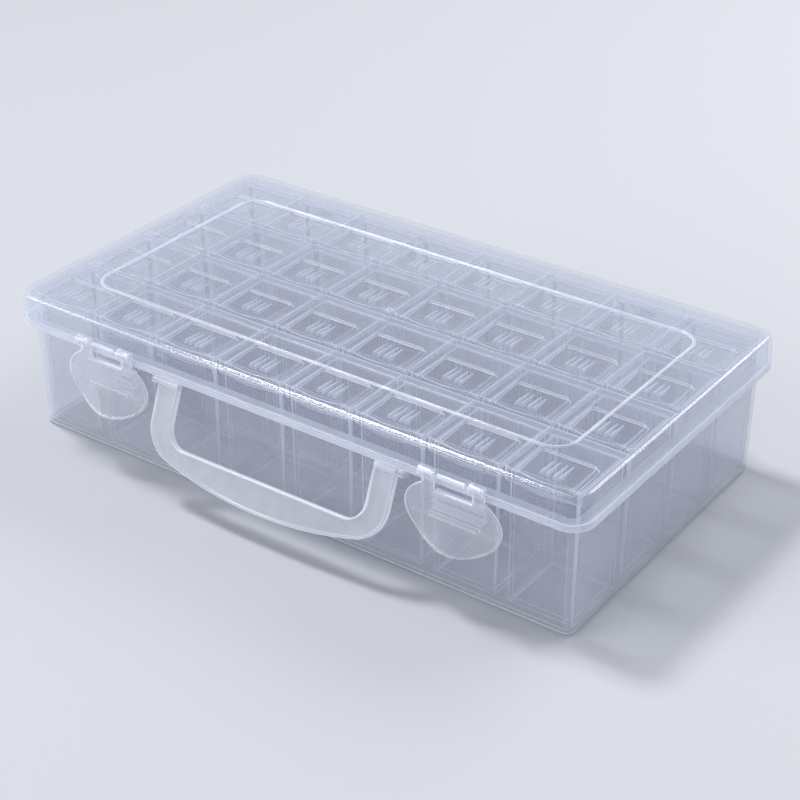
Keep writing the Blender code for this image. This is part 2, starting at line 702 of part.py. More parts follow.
def latch_mesh():
    """A latch: the flap, a bored knuckle at the top of each arm, and the hook behind the flap."""
    plate = latch_plate()
    back = LATCH_KNUCKLE_RADIUS
    slot = LATCH_ARMS_HALF_WIDTH - LATCH_ARM
    for hand in (-1, 1):
        xs = sorted((hand * slot, hand * LATCH_ARMS_HALF_WIDTH))
        combined(plate, "UNION", rod("latch_knuckle", LATCH_KNUCKLE_RADIUS, xs, 0, 0))
    reach = LATCH_ARMS_HALF_WIDTH + OVERRUN
    bore = rod("latch_bore", LATCH_BAR_RADIUS + CLEARANCE, (-reach, reach), 0, 0)
    combined(plate, "DIFFERENCE", bore)
    hook_top = -CATCH_TOP - CATCH_HEIGHT - CLEARANCE
    hook = block(
        "hook",
        (-CATCH_WIDTH / 2, back - SINK, hook_top - HOOK_HEIGHT),
        (CATCH_WIDTH / 2, back + HOOK_REACH, hook_top),
    )
    combined(plate, "UNION", hook)
    return baked(plate)


def handle_outline(inset, leg_top):
    """The U of the handle, seen from the front, drawn in from its edges by the inset."""
    half = HANDLE_HALF_WIDTH
    drop = HANDLE_REACH - HANDLE_GRIP - HANDLE_WINDOW_CORNER
    corner_x = half - HANDLE_CORNER
    fall = HANDLE_REACH - drop
    bow = (fall**2 + corner_x**2 - HANDLE_CORNER**2) / (2 * (fall - HANDLE_CORNER))
    lean = math.degrees(math.atan2(corner_x, bow - fall))
    outer = HANDLE_CORNER - inset
    right = arc(corner_x, -drop, outer, 0, lean - 90, ARC_STEPS)
    grip = arc(0, bow - HANDLE_REACH, bow - inset, lean - 90, -90 - lean, 2 * ARC_STEPS)[1:-1]
    left = arc(-corner_x, -drop, outer, -90 - lean, -180, ARC_STEPS)
    window_x = half - HANDLE_LEG - HANDLE_WINDOW_CORNER
    inner = HANDLE_WINDOW_CORNER + inset
    window_left = arc(-window_x, -drop, inner, -180, -90, ARC_STEPS - 2)
    window_right = arc(window_x, -drop, inner, -90, 0, ARC_STEPS - 2)
    return [
        (half - inset, -leg_top),
        *right,
        *grip,
        *left,
        (-half + inset, -leg_top),
        (-half + HANDLE_LEG - inset, -leg_top),
        *window_left,
        *window_right,
        (half - HANDLE_LEG + inset, -leg_top),
    ]


def handle_mesh():
    """The handle about its own axis, lying flat: its face is up and its grip towards -Y."""
    handle = slab("handle_plate", handle_outline(0, 0), HANDLE_THICKNESS)
    panel = slab(
        "handle_panel",
        handle_outline(HANDLE_PANEL_EDGE, HANDLE_KNUCKLE_RADIUS + HANDLE_PANEL_EDGE),
        HANDLE_PANEL_SINK + OVERRUN,
    )
    rise = HANDLE_THICKNESS / 2 - HANDLE_PANEL_SINK + (HANDLE_PANEL_SINK + OVERRUN) / 2
    combined(handle, "DIFFERENCE", moved(panel, Matrix.Translation((0, 0, rise))))
    for side in (-1, 1):
        inner = HANDLE_HALF_WIDTH - HANDLE_LEG
        xs = sorted((side * inner, side * HANDLE_HALF_WIDTH))
        knuckle = rod("handle_knuckle", HANDLE_KNUCKLE_RADIUS, xs, 0, 0)
        xs = sorted((side * (HANDLE_HALF_WIDTH - SINK), side * (EAR_X + EAR_WIDTH)))
        combined(handle, "UNION", knuckle, rod("handle_pin", HANDLE_PIN_RADIUS, xs, 0, 0))
    return baked(handle)


def build():
    base_plastic = plastic("case_base_polypropylene", (0.82, 0.86, 0.93), 0.18)
    lid_plastic = plastic("case_lid_polypropylene", (0.78, 0.82, 0.90), 0.15)
    latch_plastic = plastic("latch_polypropylene", (0.80, 0.84, 0.91), 0.30)
    handle_plastic = plastic("handle_polypropylene", (0.80, 0.83, 0.90), 0.34)
    box_plastic = plastic("small_box_polypropylene", (0.84, 0.87, 0.93), 0.22)
    cap_plastic = plastic("small_lid_polypropylene", (0.86, 0.88, 0.93), 0.20)
    root = bpy.data.objects.new("organizer_box", None)
    PARTS.objects.link(root)
    bpy.context.view_layer.update()

    piece("case_base", base_mesh(), base_plastic, (0, 0, 0), root)
    lid = piece("case_lid", lid_mesh(), lid_plastic, (0, HINGE_Y, HINGE_Z), root)
    latch = latch_mesh()
    for name, side in (("latch_left", -1), ("latch_right", 1)):
        piece(name, latch, latch_plastic, (side * LATCH_X, LATCH_AXIS_Y, LATCH_AXIS_Z), lid)
    upright = math.radians(90) - HANDLE_TILT
    place = (0, HANDLE_AXIS_Y, HANDLE_AXIS_Z)
    piece("carry_handle", handle_mesh(), handle_plastic, place, root, upright)

    pair = box_pair_mesh()
    cap = small_lid_mesh()
    for column in range(COLUMNS):
        x = column * COLUMN_PITCH - GRID_HALF_X
        for row in range(ROWS):
            y = row * ROW_PITCH - GRID_HALF_Y
            if row % 2 == 0:
                number = row // 2 + 1
                piece(f"box_pair_{column + 1}_{number}", pair, box_plastic, (x, y, 0), root)
            name = f"small_lid_{column + 1}_{row + 1}"
            piece(name, cap, cap_plastic, (x, y + CAP_HINGE_Y, CAP_HINGE_Z), root)


clear_scene()
PARTS = new_collection("compartment_organizer_box")
CUTTERS = new_collection("cutters")
CUTTERS.hide_render = True
build()
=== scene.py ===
import json
import math

import bmesh
import bpy
from mathutils import Matrix, Vector
from mathutils.bvhtree import BVHTree

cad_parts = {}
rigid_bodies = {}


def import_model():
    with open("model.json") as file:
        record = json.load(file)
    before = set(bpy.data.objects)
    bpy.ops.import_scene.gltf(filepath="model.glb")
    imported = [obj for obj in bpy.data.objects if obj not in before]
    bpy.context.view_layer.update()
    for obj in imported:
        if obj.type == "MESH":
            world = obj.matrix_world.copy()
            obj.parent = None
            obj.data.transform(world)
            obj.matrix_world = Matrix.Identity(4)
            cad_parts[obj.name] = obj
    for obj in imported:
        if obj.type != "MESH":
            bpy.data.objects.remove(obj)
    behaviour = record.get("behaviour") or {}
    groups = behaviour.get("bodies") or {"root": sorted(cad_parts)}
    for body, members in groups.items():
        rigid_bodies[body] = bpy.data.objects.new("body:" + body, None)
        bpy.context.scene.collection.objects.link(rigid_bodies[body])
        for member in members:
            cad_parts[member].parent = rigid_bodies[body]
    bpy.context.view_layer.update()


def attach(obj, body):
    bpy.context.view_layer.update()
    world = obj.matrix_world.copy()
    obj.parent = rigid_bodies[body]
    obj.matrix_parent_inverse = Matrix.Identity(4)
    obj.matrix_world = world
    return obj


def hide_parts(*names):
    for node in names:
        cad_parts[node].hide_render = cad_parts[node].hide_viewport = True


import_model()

mm = 0.001
scene = bpy.context.scene
workbench = bpy.data.collections.new("workbench")  # holds shapes while they are made, never shown
scene.collection.children.link(workbench)
workbench.hide_render = True

# How the case is laid out. X runs along the front, which faces -Y
grid = {"columns": 8, "rows": 4, "pitchX": 25.9 * mm, "pitchY": 27.7 * mm}
case = {
    "wallX": 103.3 * mm,  # outside of the tub's wall, from the middle
    "wallY": 56.15 * mm,
    "reach": 3.8 * mm,  # how far the rim and the lid stand out past that wall
    "corner": 3.5 * mm,
    "baseTop": 39.9 * mm,
    "lidBottom": 40.2 * mm,
    "lidTop": 49.6 * mm,
    "gap": 0.3 * mm,  # between pieces that touch in the real case
}
rimX = case["wallX"] + case["reach"]
rimY = case["wallY"] + case["reach"]


def cellPlace(column, row):
    x = (column - (grid["columns"] - 1) / 2) * grid["pitchX"]
    y = (row - (grid["rows"] - 1) / 2) * grid["pitchY"]
    return x, y


def roundedLoop(halfX, halfY, radius, steps, z):
    points = []
    for sideX, sideY, start in ((1, -1, -90), (1, 1, 0), (-1, 1, 90), (-1, -1, 180)):
        for step in range(steps + 1):
            angle = math.radians(start + 90 * step / steps)
            x = sideX * (halfX - radius) + radius * math.cos(angle)
            y = sideY * (halfY - radius) + radius * math.sin(angle)
            points.append((x, y, z))
    return points


def arcPoints(centreX, centreY, radius, start, end, steps):
    angles = [math.radians(start + (end - start) * step / steps) for step in range(steps + 1)]
    return [(centreX + radius * math.cos(a), centreY + radius * math.sin(a)) for a in angles]


def objectFrom(bm, name):
    bmesh.ops.recalc_face_normals(bm, faces=bm.faces)
    mesh = bpy.data.meshes.new(name)
    bm.to_mesh(mesh)
    bm.free()
    obj = bpy.data.objects.new(name, mesh)
    workbench.objects.link(obj)
    return obj


# Skins a row of loops and closes both ends
def loftedSolid(name, loops, ring=False):
    bm = bmesh.new()
    rows = [[bm.verts.new(point) for point in loop] for loop in loops]
    pairs = list(zip(rows, rows[1:]))
    if ring:
        pairs.append((rows[-1], rows[0]))
    for lower, upper in pairs:
        for i, corner in enumerate(lower):
            j = (i + 1) % len(lower)
            bm.faces.new((corner, lower[j], upper[j], upper[i]))
    if not ring:
        bm.faces.new(reversed(rows[0]))
        bm.faces.new(rows[-1])
    return objectFrom(bm, name)


# A side view, its points given as y and z, run along X
def sideProfile(name, outline, xs):
    return loftedSolid(name, [[(x, y, z) for y, z in outline] for x in xs])


def block(name, low, high):
    corners = [(low[0], low[1]), (high[0], low[1]), (high[0], high[1]), (low[0], high[1])]
    return loftedSolid(name, [[(x, y, z) for x, y in corners] for z in (low[2], high[2])])


# A round bar along X with eased ends
def roundBar(name, radius, xs, y, z, ease, sides=32):
    start, end = xs
    stations = [(start, radius - ease), (start + ease, radius)]
    stations += [(end - ease, radius), (end, radius - ease)]
    turns = [math.tau * side / sides for side in range(sides)]
    loops = []
    for x, r in stations:
        loops.append([(x, y + r * math.cos(a), z + r * math.sin(a)) for a in turns])
    return loftedSolid(name, loops)


def shaped(obj, operation, *tools):
    for tool in tools:
        step = obj.modifiers.new(tool.name, "BOOLEAN")
        step.operation = operation
        step.object = tool
    return obj


def eased(obj, width, angle=40, segments=2):
    edge = obj.modifiers.new("eased edges", "BEVEL")
    edge.width = width
    edge.segments = segments
    edge.limit_method = "ANGLE"
    edge.angle_limit = math.radians(angle)
    edge.use_clamp_overlap = False
    edge.miter_outer = "MITER_ARC"
    return obj


def finishedMesh(obj):
    graph = bpy.context.evaluated_depsgraph_get()
    mesh = bpy.data.meshes.new_from_object(obj.evaluated_get(graph))
    for used in list(workbench.objects):
        bpy.data.objects.remove(used)
    return mesh


# Keeps, face by face, how many millimetres of plastic lie behind the surface, up to the deepest
# that counts. The materials are milkier there. Faces below the narrow width are roundings: they are
# given extra depth so that they turn milky white, a painted glow that stands in for glints and
# light on the edges
def measureDepthAndEdgeGlow(mesh, deepest, paintedEdgeGlow, narrow):
    justUnder, ifOpen = 0.01 * mm, 1 * mm
    bm = bmesh.new()
    bm.from_mesh(mesh)
    tree = BVHTree.FromBMesh(bm)
    bm.free()
    mesh.calc_loop_triangles()
    inside = {}
    for triangle in mesh.loop_triangles:
        face = triangle.polygon_index
        if face not in inside or triangle.area > inside[face][0]:
            centre = sum((mesh.vertices[v].co for v in triangle.vertices), Vector()) / 3
            inside[face] = (triangle.area, centre)
    depthAndEdgeGlow = mesh.attributes.new("depthAndEdgeGlow", "FLOAT", "FACE")
    for polygon in mesh.polygons:
        normal = polygon.normal
        start = inside.get(polygon.index, (0, polygon.center))[1] - normal * justUnder
        hit = tree.ray_cast(start, -normal)
        edges = [mesh.vertices[a].co - mesh.vertices[b].co for a, b in polygon.edge_keys]
        width = polygon.area / max(edge.length for edge in edges)
        # Narrow roundings get extra depth here: a painted glow that whitens the edges in place of
        # light
        paintedGlow = paintedEdgeGlow * max(0, 1 - width / (narrow * mm))
        behind = hit[3] if hit[0] else ifOpen
        depthAndEdgeGlow.data[polygon.index].value = min(deepest, behind / mm) + paintedGlow
    return mesh


def placePiece(name, mesh, place, body, nodes):
    obj = bpy.data.objects.new(name, mesh)
    scene.collection.objects.link(obj)
    obj.location = place
    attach(obj, body)
    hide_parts(*nodes)
    return obj


# Flat faces keep their own normals and the small roundings between them take the bend, so that
# glints stay on the edges
def dressed(mesh, material, deepest, paintedEdgeGlow=0, narrow=0.5, angle=50):
    mesh.shade_smooth()
    mesh.set_sharp_from_angle(angle=math.radians(angle))
    carrier = bpy.data.objects.new("carrier", mesh)
    workbench.objects.link(carrier)
    carrier.modifiers.new("weighted normals", "WEIGHTED_NORMAL").keep_sharp = True
    mesh = measureDepthAndEdgeGlow(finishedMesh(carrier), deepest, paintedEdgeGlow, narrow)
    mesh.materials.clear()
    mesh.materials.append(material)
    return mesh


def linearColour(hexText):
    parts = [int(hexText[i : i + 2], 16) / 255 for i in (1, 3, 5)]
    return [p / 12.92 if p <= 0.04045 else ((p + 0.055) / 1.055) ** 2.4 for p in parts] + [1]


def addNode(tree, kind, settings=None, links=None):
    node = tree.nodes.new(kind)
    for key, value in (settings or {}).items():
        if isinstance(key, int) or key in node.inputs:
            node.inputs[key].default_value = value
        else:
            setattr(node, key, value)
    for key, source in (links or {}).items():
        tree.links.new(source, node.inputs[key])
    return node


# What all of the case's polypropylene has in common
polypropylene = {
    "ior": 1.49,
    "specular": 0.3,  # the gloss layer below carries most of the shine
    "flowDetail": 3,
    "flowRoughness": 0.55,
    "leastSlope": 0.12,  # keeps walls that are seen edge-on from turning solid white
    "hazeCurve": 1.8,
    "rippleHeight": 0.05 * mm,
    "mirrorCurve": 4.5,
    "mirrorHeadOn": 0.045,
    "mirrorGrazing": 0.6,
}


# Polypropylene without pigment: clear where it is thin, milky where the light goes far through it,
# and milky on the narrow roundings as a painted glow
def naturalPolypropylene(name, look):
    common = polypropylene
    material = bpy.data.materials.new(name)
    material.use_nodes = True
    tree = material.node_tree
    tree.nodes.clear()

    where = addNode(tree, "ShaderNodeTexCoord")
    flow = addNode(
        tree,
        "ShaderNodeTexNoise",
        {
            "Scale": 1 / (look["flowSize"] * mm),
            "Detail": common["flowDetail"],
            "Roughness": common["flowRoughness"],
        },
        {"Vector": where.outputs["Object"]},
    )
    cloud = addNode(
        tree,
        "ShaderNodeMapRange",
        {"To Min": 1 - look["flow"], "To Max": 1 + look["flow"]},
        {"Value": flow.outputs[0]},
    )
    angle = addNode(tree, "ShaderNodeLayerWeight", {"Blend": 0.5})
    slope = addNode(
        tree, "ShaderNodeMath", {"operation": "SUBTRACT", 0: 1}, {1: angle.outputs["Facing"]}
    )
    slope = addNode(
        tree,
        "ShaderNodeMath",
        {"operation": "MAXIMUM", 1: common["leastSlope"]},
        {0: slope.outputs[0]},
    )
    # The attribute holds the plastic's depth plus the painted glow of the roundings
    depthAndEdgeGlow = addNode(tree, "ShaderNodeAttribute", {"attribute_name": "depthAndEdgeGlow"})
    path = addNode(
        tree,
        "ShaderNodeMath",
        {"operation": "DIVIDE"},
        {0: depthAndEdgeGlow.outputs["Fac"], 1: slope.outputs[0]},
    )
    path = addNode(
        tree,
        "ShaderNodeMath",
        {"operation": "MULTIPLY"},
        {0: path.outputs[0], 1: cloud.outputs[0]},
    )
    for operation, value in (
        ("MULTIPLY", look["haze"]),
        ("POWER", common["hazeCurve"]),
        ("MULTIPLY", -1),
    ):
        path = addNode(
            tree, "ShaderNodeMath", {"operation": operation, 1: value}, {0: path.outputs[0]}
        )
    clear = addNode(tree, "ShaderNodeMath", {"operation": "EXPONENT"}, {0: path.outputs[0]})

    ripple = addNode(
        tree,
        "ShaderNodeBump",
        {"Strength": look["ripple"], "Distance": common["rippleHeight"]},
        {"Height": flow.outputs[0]},
    )
    body = addNode(
        tree,
        "ShaderNodeBsdfPrincipled",
        {
            "Base Color": linearColour(look["body"]),
            "Roughness": look["roughness"],
            "IOR": common["ior"],
            "Specular IOR Level": common["specular"],
        },
    )
    glow = addNode(tree, "ShaderNodeBsdfTranslucent", {"Color": linearColour(look["glow"])})
    milk = addNode(
        tree,
        "ShaderNodeMixShader",
        {"Fac": look["through"]},
        {1: body.outputs[0], 2: glow.outputs[0]},
    )
    passing = addNode(tree, "ShaderNodeBsdfTransparent", {"Color": linearColour(look["tint"])})
    plastic = addNode(
        tree,
        "ShaderNodeMixShader",
        None,
        {0: clear.outputs[0], 1: milk.outputs[0], 2: passing.outputs[0]},
    )
    grazing = addNode(
        tree,
        "ShaderNodeMath",
        {"operation": "POWER", 1: common["mirrorCurve"]},
        {0: angle.outputs["Facing"]},
    )
    mirror = addNode(
        tree,
        "ShaderNodeMapRange",
        {"To Min": common["mirrorHeadOn"], "To Max": common["mirrorGrazing"]},
        {"Value": grazing.outputs[0]},
    )
    gloss = addNode(
        tree, "ShaderNodeBsdfGlossy", {"Roughness": look["gloss"]}, {"Normal": ripple.outputs[0]}
    )
    skin = addNode(
        tree,
        "ShaderNodeMixShader",
        None,
        {0: mirror.outputs[0], 1: plastic.outputs[0], 2: gloss.outputs[0]},
    )
    addNode(tree, "ShaderNodeOutputMaterial", None, {"Surface": skin.outputs[0]})
    return material


# Flow sizes are the widths, in millimetres, of the faint clouds that moulding leaves in the sheet.
# The lid and tub are random copolymer from polished moulds: the clearest and glossiest parts
lidPlastic = naturalPolypropylene("clearPolypropyleneLid", {
    "body": "#EEF2FD", "glow": "#F1F4FE", "tint": "#FAFBFD", "through": 0.45, "haze": 0.10,
    "roughness": 0.35, "gloss": 0.09, "flowSize": 24, "flow": 0.25, "ripple": 0.10,
})
basePlastic = naturalPolypropylene("clearPolypropyleneTub", {
    "body": "#EEF2FD", "glow": "#F1F4FE", "tint": "#FBFCFD", "through": 0.45, "haze": 0.16,
    "roughness": 0.35, "gloss": 0.10, "flowSize": 24, "flow": 0.25, "ripple": 0.12,
})
# The small mouldings are thinner and a little duller, from plainer moulds
boxPlastic = naturalPolypropylene("naturalPolypropyleneBoxes", {
    "body": "#EBEFFC", "glow": "#EFF2FD", "tint": "#FCFCFD", "through": 0.4, "haze": 0.13,
    "roughness": 0.4, "gloss": 0.16, "flowSize": 12, "flow": 0.3, "ripple": 0.10,
})
capPlastic = naturalPolypropylene("naturalPolypropyleneCaps", {
    "body": "#EDF1FD", "glow": "#F0F3FE", "tint": "#FBFCFD", "through": 0.4, "haze": 0.11,
    "roughness": 0.4, "gloss": 0.14, "flowSize": 9, "flow": 0.3, "ripple": 0.10,
})
# Moulded homopolymer, which bends often without breaking and looks whiter
latchPlastic = naturalPolypropylene("milkyPolypropyleneLatches", {
    "body": "#F7F8FD", "glow": "#F8F8FD", "tint": "#FAFBFD", "through": 0.45, "haze": 0.34,
    "roughness": 0.35, "gloss": 0.14, "flowSize": 8, "flow": 0.25, "ripple": 0.12,
})
handlePlastic = naturalPolypropylene("milkyPolypropyleneHandle", {
    "body": "#F4F5FD", "glow": "#F6F7FD", "tint": "#FAFBFD", "through": 0.45, "haze": 0.30,
    "roughness": 0.4, "gloss": 0.2, "flowSize": 8, "flow": 0.25, "ripple": 0.15,
})
print("materials ready")

smallBox = {
    "front": -11.4 * mm,  # from the middle of its place in the grid
    "back": 13.3 * mm,
    "width": 22.7 * mm,
    "bottom": 1.3 * mm,
    "rim": 46.6 * mm,
    "wall": 0.9 * mm,
    "corner": 0.9 * mm,
    "leastCorner": 0.35 * mm,
    "draft": 0.5 * mm,
    "foot": 0.8 * mm,  # radius of the rounding round the bottom
    "ease": 0.15 * mm,
    "notchHalf": 10.1 * mm,
    "notchDrop": 1.8 * mm,
    "past": 1 * mm,  # how far a cutting shape reaches beyond what it cuts
}
smallLid = {
    "width": 25.5 * mm,
    "top": 48.0 * mm,
    "under": 46.9 * mm,
    "hingeY": 12.4 * mm,
    "hingeZ": 46.8 * mm,
    "barrel": 1.2 * mm,
    "front": -12.4 * mm,  # its front corners
    "bow": 1.2 * mm,
    "bowWidth": 22.0 * mm,
    "corner": 1.3 * mm,
    "skirtWall": 0.7 * mm,
    "skirtDrop": 3.5 * mm,
    "windowHalf": 9.0 * mm,
    "windowFront": -11.5 * mm,
    "windowBack": 1.8 * mm,
    "windowCorner": 0.9 * mm,
    "sinkBack": 0.8 * mm,
    "sinkFront": 1.7 * mm,
    "windowFloor": 0.7 * mm,
    "windowWall": 0.8 * mm,
    "panOverlap": 0.4 * mm,
    "ribs": (-3.0 * mm, -1.2 * mm, 1.2 * mm, 3.0 * mm),
    "ribHalfFront": 0.55 * mm,  # the ribs are fins, broad at the front and pointed at the back
    "ribHalfBack": 0.2 * mm,
    "ribFront": -8.5 * mm,
    "ribBack": -1.0 * mm,
    "ribHeight": 1.15 * mm,
    "ribBackHeight": 0.35 * mm,
    # From the foot up: share of the height and share of the width
    "ribRows": ((-0.3, 1), (0.15, 1), (0.6, 0.75), (1, 0.4)),
    "ease": 0.18 * mm,
}


# Outside up from the bottom, over the rim and down inside
def smallBoxMesh():
    s = smallBox
    rim, wall, ease, foot = s["rim"], s["wall"], s["ease"], s["foot"]
    turns = [math.radians(30 * step) for step in range(4)]
    path = []
    for turn in turns:
        inset = s["draft"] + foot * (1 - math.sin(turn))
        path.append((inset, s["bottom"] + foot * (1 - math.cos(turn))))
    path += [(0, rim - ease), (ease, rim), (wall - ease, rim), (wall, rim - ease)]
    for turn in reversed(turns):
        inset = wall + s["draft"] + foot * (1 - math.sin(turn))
        path.append((inset, s["bottom"] + wall + foot * (1 - math.cos(turn))))
    halfX, halfY = s["width"] / 2, (s["back"] - s["front"]) / 2
    loops = []
    for inset, z in path:
        corner = max(s["corner"] - inset, s["leastCorner"])
        loops.append(roundedLoop(halfX - inset, halfY - inset, corner, 5, z))
    box = loftedSolid("small box", loops)
    box.data.transform(Matrix.Translation((0, (s["front"] + s["back"]) / 2, 0)))
    past = s["past"]
    radius, reach = smallLid["barrel"] + case["gap"], smallLid["width"] / 2 + past
    seat = roundBar(
        "hinge seat", radius, (-reach, reach), smallLid["hingeY"], smallLid["hingeZ"], 0, 16
    )
    notch = block(
        "front notch",
        (-s["notchHalf"], s["front"] - past, rim - s["notchDrop"]),
        (s["notchHalf"], s["front"] + wall + past, rim + past),
    )
    return finishedMesh(shaped(box, "DIFFERENCE", seat, notch))


def windowFloor(y):
    s = smallLid
    share = (s["windowBack"] - y) / (s["windowBack"] - s["windowFront"])
    return s["top"] - s["sinkBack"] - (s["sinkFront"] - s["sinkBack"]) * share


# A rounded box over the window whose bottom and top follow the given heights
def windowBlock(name, grow, bottomAt, topAt):
    s = smallLid
    front, back = s["windowFront"] - grow, s["windowBack"] + grow
    loops = []
    half, middle = (back - front) / 2, (front + back) / 2
    flat = roundedLoop(s["windowHalf"] + grow, half, s["windowCorner"] + grow, 4, 0)
    for heightAt in (bottomAt, topAt):
        loops.append([(x, y + middle, heightAt(y + middle)) for x, y, z in flat])
    return loftedSolid(name, loops)


def smallLidMesh():
    s = smallLid
    half = s["width"] / 2
    deepFront = s["front"] - 4 * mm
    skirtBack = s["front"] + s["skirtWall"]
    skirtBottom = s["under"] - s["skirtDrop"]
    tuck = math.degrees(math.asin((s["under"] - s["hingeZ"]) / s["barrel"]))
    barrel = arcPoints(s["hingeY"], s["hingeZ"], s["barrel"], 90, -180 - tuck, 12)
    outline = [(deepFront, s["top"]), *barrel, (skirtBack, s["under"])]
    outline += [(skirtBack, skirtBottom), (deepFront, skirtBottom)]
    lid = sideProfile("small lid", outline, (-half, half))

    low, high, back = 40 * mm, 50 * mm, 20 * mm  # well clear of the lid all round
    bow = []
    for step in range(17):
        along = step / 8 - 1
        bulge = (1 + math.cos(math.pi * along)) / 2
        bow.append((along * s["bowWidth"] / 2, s["front"] - s["bow"] * bulge))
    corner = s["corner"]
    left = arcPoints(-half + corner, s["front"] + corner, corner, 180, 270, 5)
    right = arcPoints(half - corner, s["front"] + corner, corner, 270, 360, 5)
    plan = [(-half, back), *left, *bow, *right, (half, back)]
    keep = loftedSolid("lid plan", [[(x, y, z) for x, y in plan] for z in (low, high)])
    shaped(lid, "INTERSECT", keep)

    def underPan(y):
        return windowFloor(y) - s["windowFloor"]

    pan = windowBlock("pan", s["windowWall"], underPan, lambda y: s["under"] + s["panOverlap"])
    keep = block("pan limit", (-half, skirtBack - 0.3 * mm, low), (half, back, high))
    shaped(pan, "INTERSECT", keep)
    window = windowBlock("window", 0, windowFloor, lambda y: s["top"] + 1 * mm)
    shaped(lid, "UNION", pan)
    eased(shaped(lid, "DIFFERENCE", window), s["ease"])
    for x in s["ribs"]:
        loops = []
        for rise, share in s["ribRows"]:
            broad, thin = s["ribHalfFront"] * share, s["ribHalfBack"] * share
            tip = 0.3 * mm * (1 - share)
            front, end = s["ribFront"] + tip, s["ribBack"] - tip
            high = windowFloor(front) + rise * s["ribHeight"]
            low = windowFloor(end) + rise * s["ribBackHeight"]
            loop = [(x - broad, front, high), (x + broad, front, high)]
            loops.append(loop + [(x + thin, end, low), (x - thin, end, low)])
        shaped(lid, "UNION", loftedSolid("rib", loops))
    mesh = finishedMesh(lid)
    mesh.transform(Matrix.Translation((0, -s["hingeY"], -s["hingeZ"])))
    return mesh


# The small boxes' and lids' roundings are painted milkier, a painted glow on their edges
boxMesh = dressed(smallBoxMesh(), boxPlastic, deepest=1.5, paintedEdgeGlow=10, narrow=0.8)
lidMesh = dressed(smallLidMesh(), capPlastic, deepest=2.2, paintedEdgeGlow=8, narrow=0.7)
for column in range(grid["columns"]):
    for row in range(grid["rows"]):
        x, y = cellPlace(column, row)
        label = f"{column + 1}_{row + 1}"
        pair = f"box_pair_{column + 1}_{row // 2 + 1}"
        placePiece(f"smallBox_{label}", boxMesh, (x, y, 0), "tub", [pair])
        place = (x, y + smallLid["hingeY"], smallLid["hingeZ"])
        node, body = f"small_lid_{label}", f"flap_{label}"
        placePiece(f"smallLid_{label}", lidMesh, place, body, [node])
print("small boxes and their lids ready")

# Both back hinges, seen from the side. The pins are moulded with the lid
hinge = {
    "spread": 66.0 * mm,
    "radius": 1.69 * mm,
    "pin": 0.8 * mm,
    "lidKnuckle": 10.0 * mm,
    "baseKnuckle": 3.7 * mm,
    "y": rimY + 2.0 * mm,
    "z": 41.35 * mm,
}
tub = {
    "wall": 1.0 * mm,
    "draft": 0.5 * mm,
    "foot": 1.2 * mm,
    "footInside": 0.84 * mm,
    "leastCorner": 0.8 * mm,
    "flange": 1.9 * mm,
    "round": 0.5 * mm,
    "ease": 0.25 * mm,
    "earX": 45.6 * mm,
    "earWidth": 2.2 * mm,
    "earRadius": 1.5 * mm,
    "catchWidth": 17.0 * mm,
    "catchTop": 34.0 * mm,
    "catchHeight": 5.5 * mm,
    "catchFace": -59.15 * mm,
    "catchGroove": 1.0 * mm,
    "catchRib": 1.1 * mm,
}
handle = {
    "y": -58.45 * mm,
    "z": 36.2 * mm,
    "tilt": 22,
    "halfWidth": 45.3 * mm,
    "leg": 8.0 * mm,
    "reach": 28.8 * mm,
    "grip": 10.0 * mm,
    "corner": 12.0 * mm,
    "windowCorner": 6.5 * mm,
    "thickness": 2.2 * mm,
    "edge": 1.2 * mm,
    "knuckle": 1.4 * mm,
    "pin": 0.7 * mm,
    "pitch": 2.5 * mm,
    # A raised edge 0.5 mm wide round a face that is sunk by 0.6 mm
    "rings": (
        (0, 0.3, 0.3), (0.1, 0.09, 0.09), (0.3, 0, 0), (0.5, 0, 0),
        (0.65, 0.2, 0), (0.85, 0.52, 0), (1.0, 0.6, 0),
    ),
}
latch = {
    "x": 65.9 * mm,
    "y": -61.85 * mm,
    "z": 42.4 * mm,
    "halfWidth": 16.5 * mm,
    "discCentre": 12.4 * mm,
    "discRise": 10.3 * mm,
    "discDrop": 11.9 * mm,
    "thickness": 1.2 * mm,
    "flare": 3.0 * mm,
    "flareDrop": 7.5 * mm,
    "flareHalf": 12.5 * mm,
    "knuckle": 1.6 * mm,
    "bar": 0.7 * mm,
    "armsHalf": 10.9 * mm,
    "arm": 4.7 * mm,
    "armStep": 0.4 * mm,
    "slotDrop": 5.9 * mm,
    "hookHeight": 1.2 * mm,
    "hookReach": 0.8 * mm,
    "pitch": 0.9 * mm,  # between the cuts that let the plate bend
    # A raised edge 0.5 mm wide, in millimetres as inset, front drop and back drop
    "rings": (
        (0, 0.3, 0.25), (0.1, 0.09, 0.07), (0.3, 0, 0), (0.5, 0, 0),
        (0.65, 0.12, 0), (0.8, 0.26, 0),
    ),
}


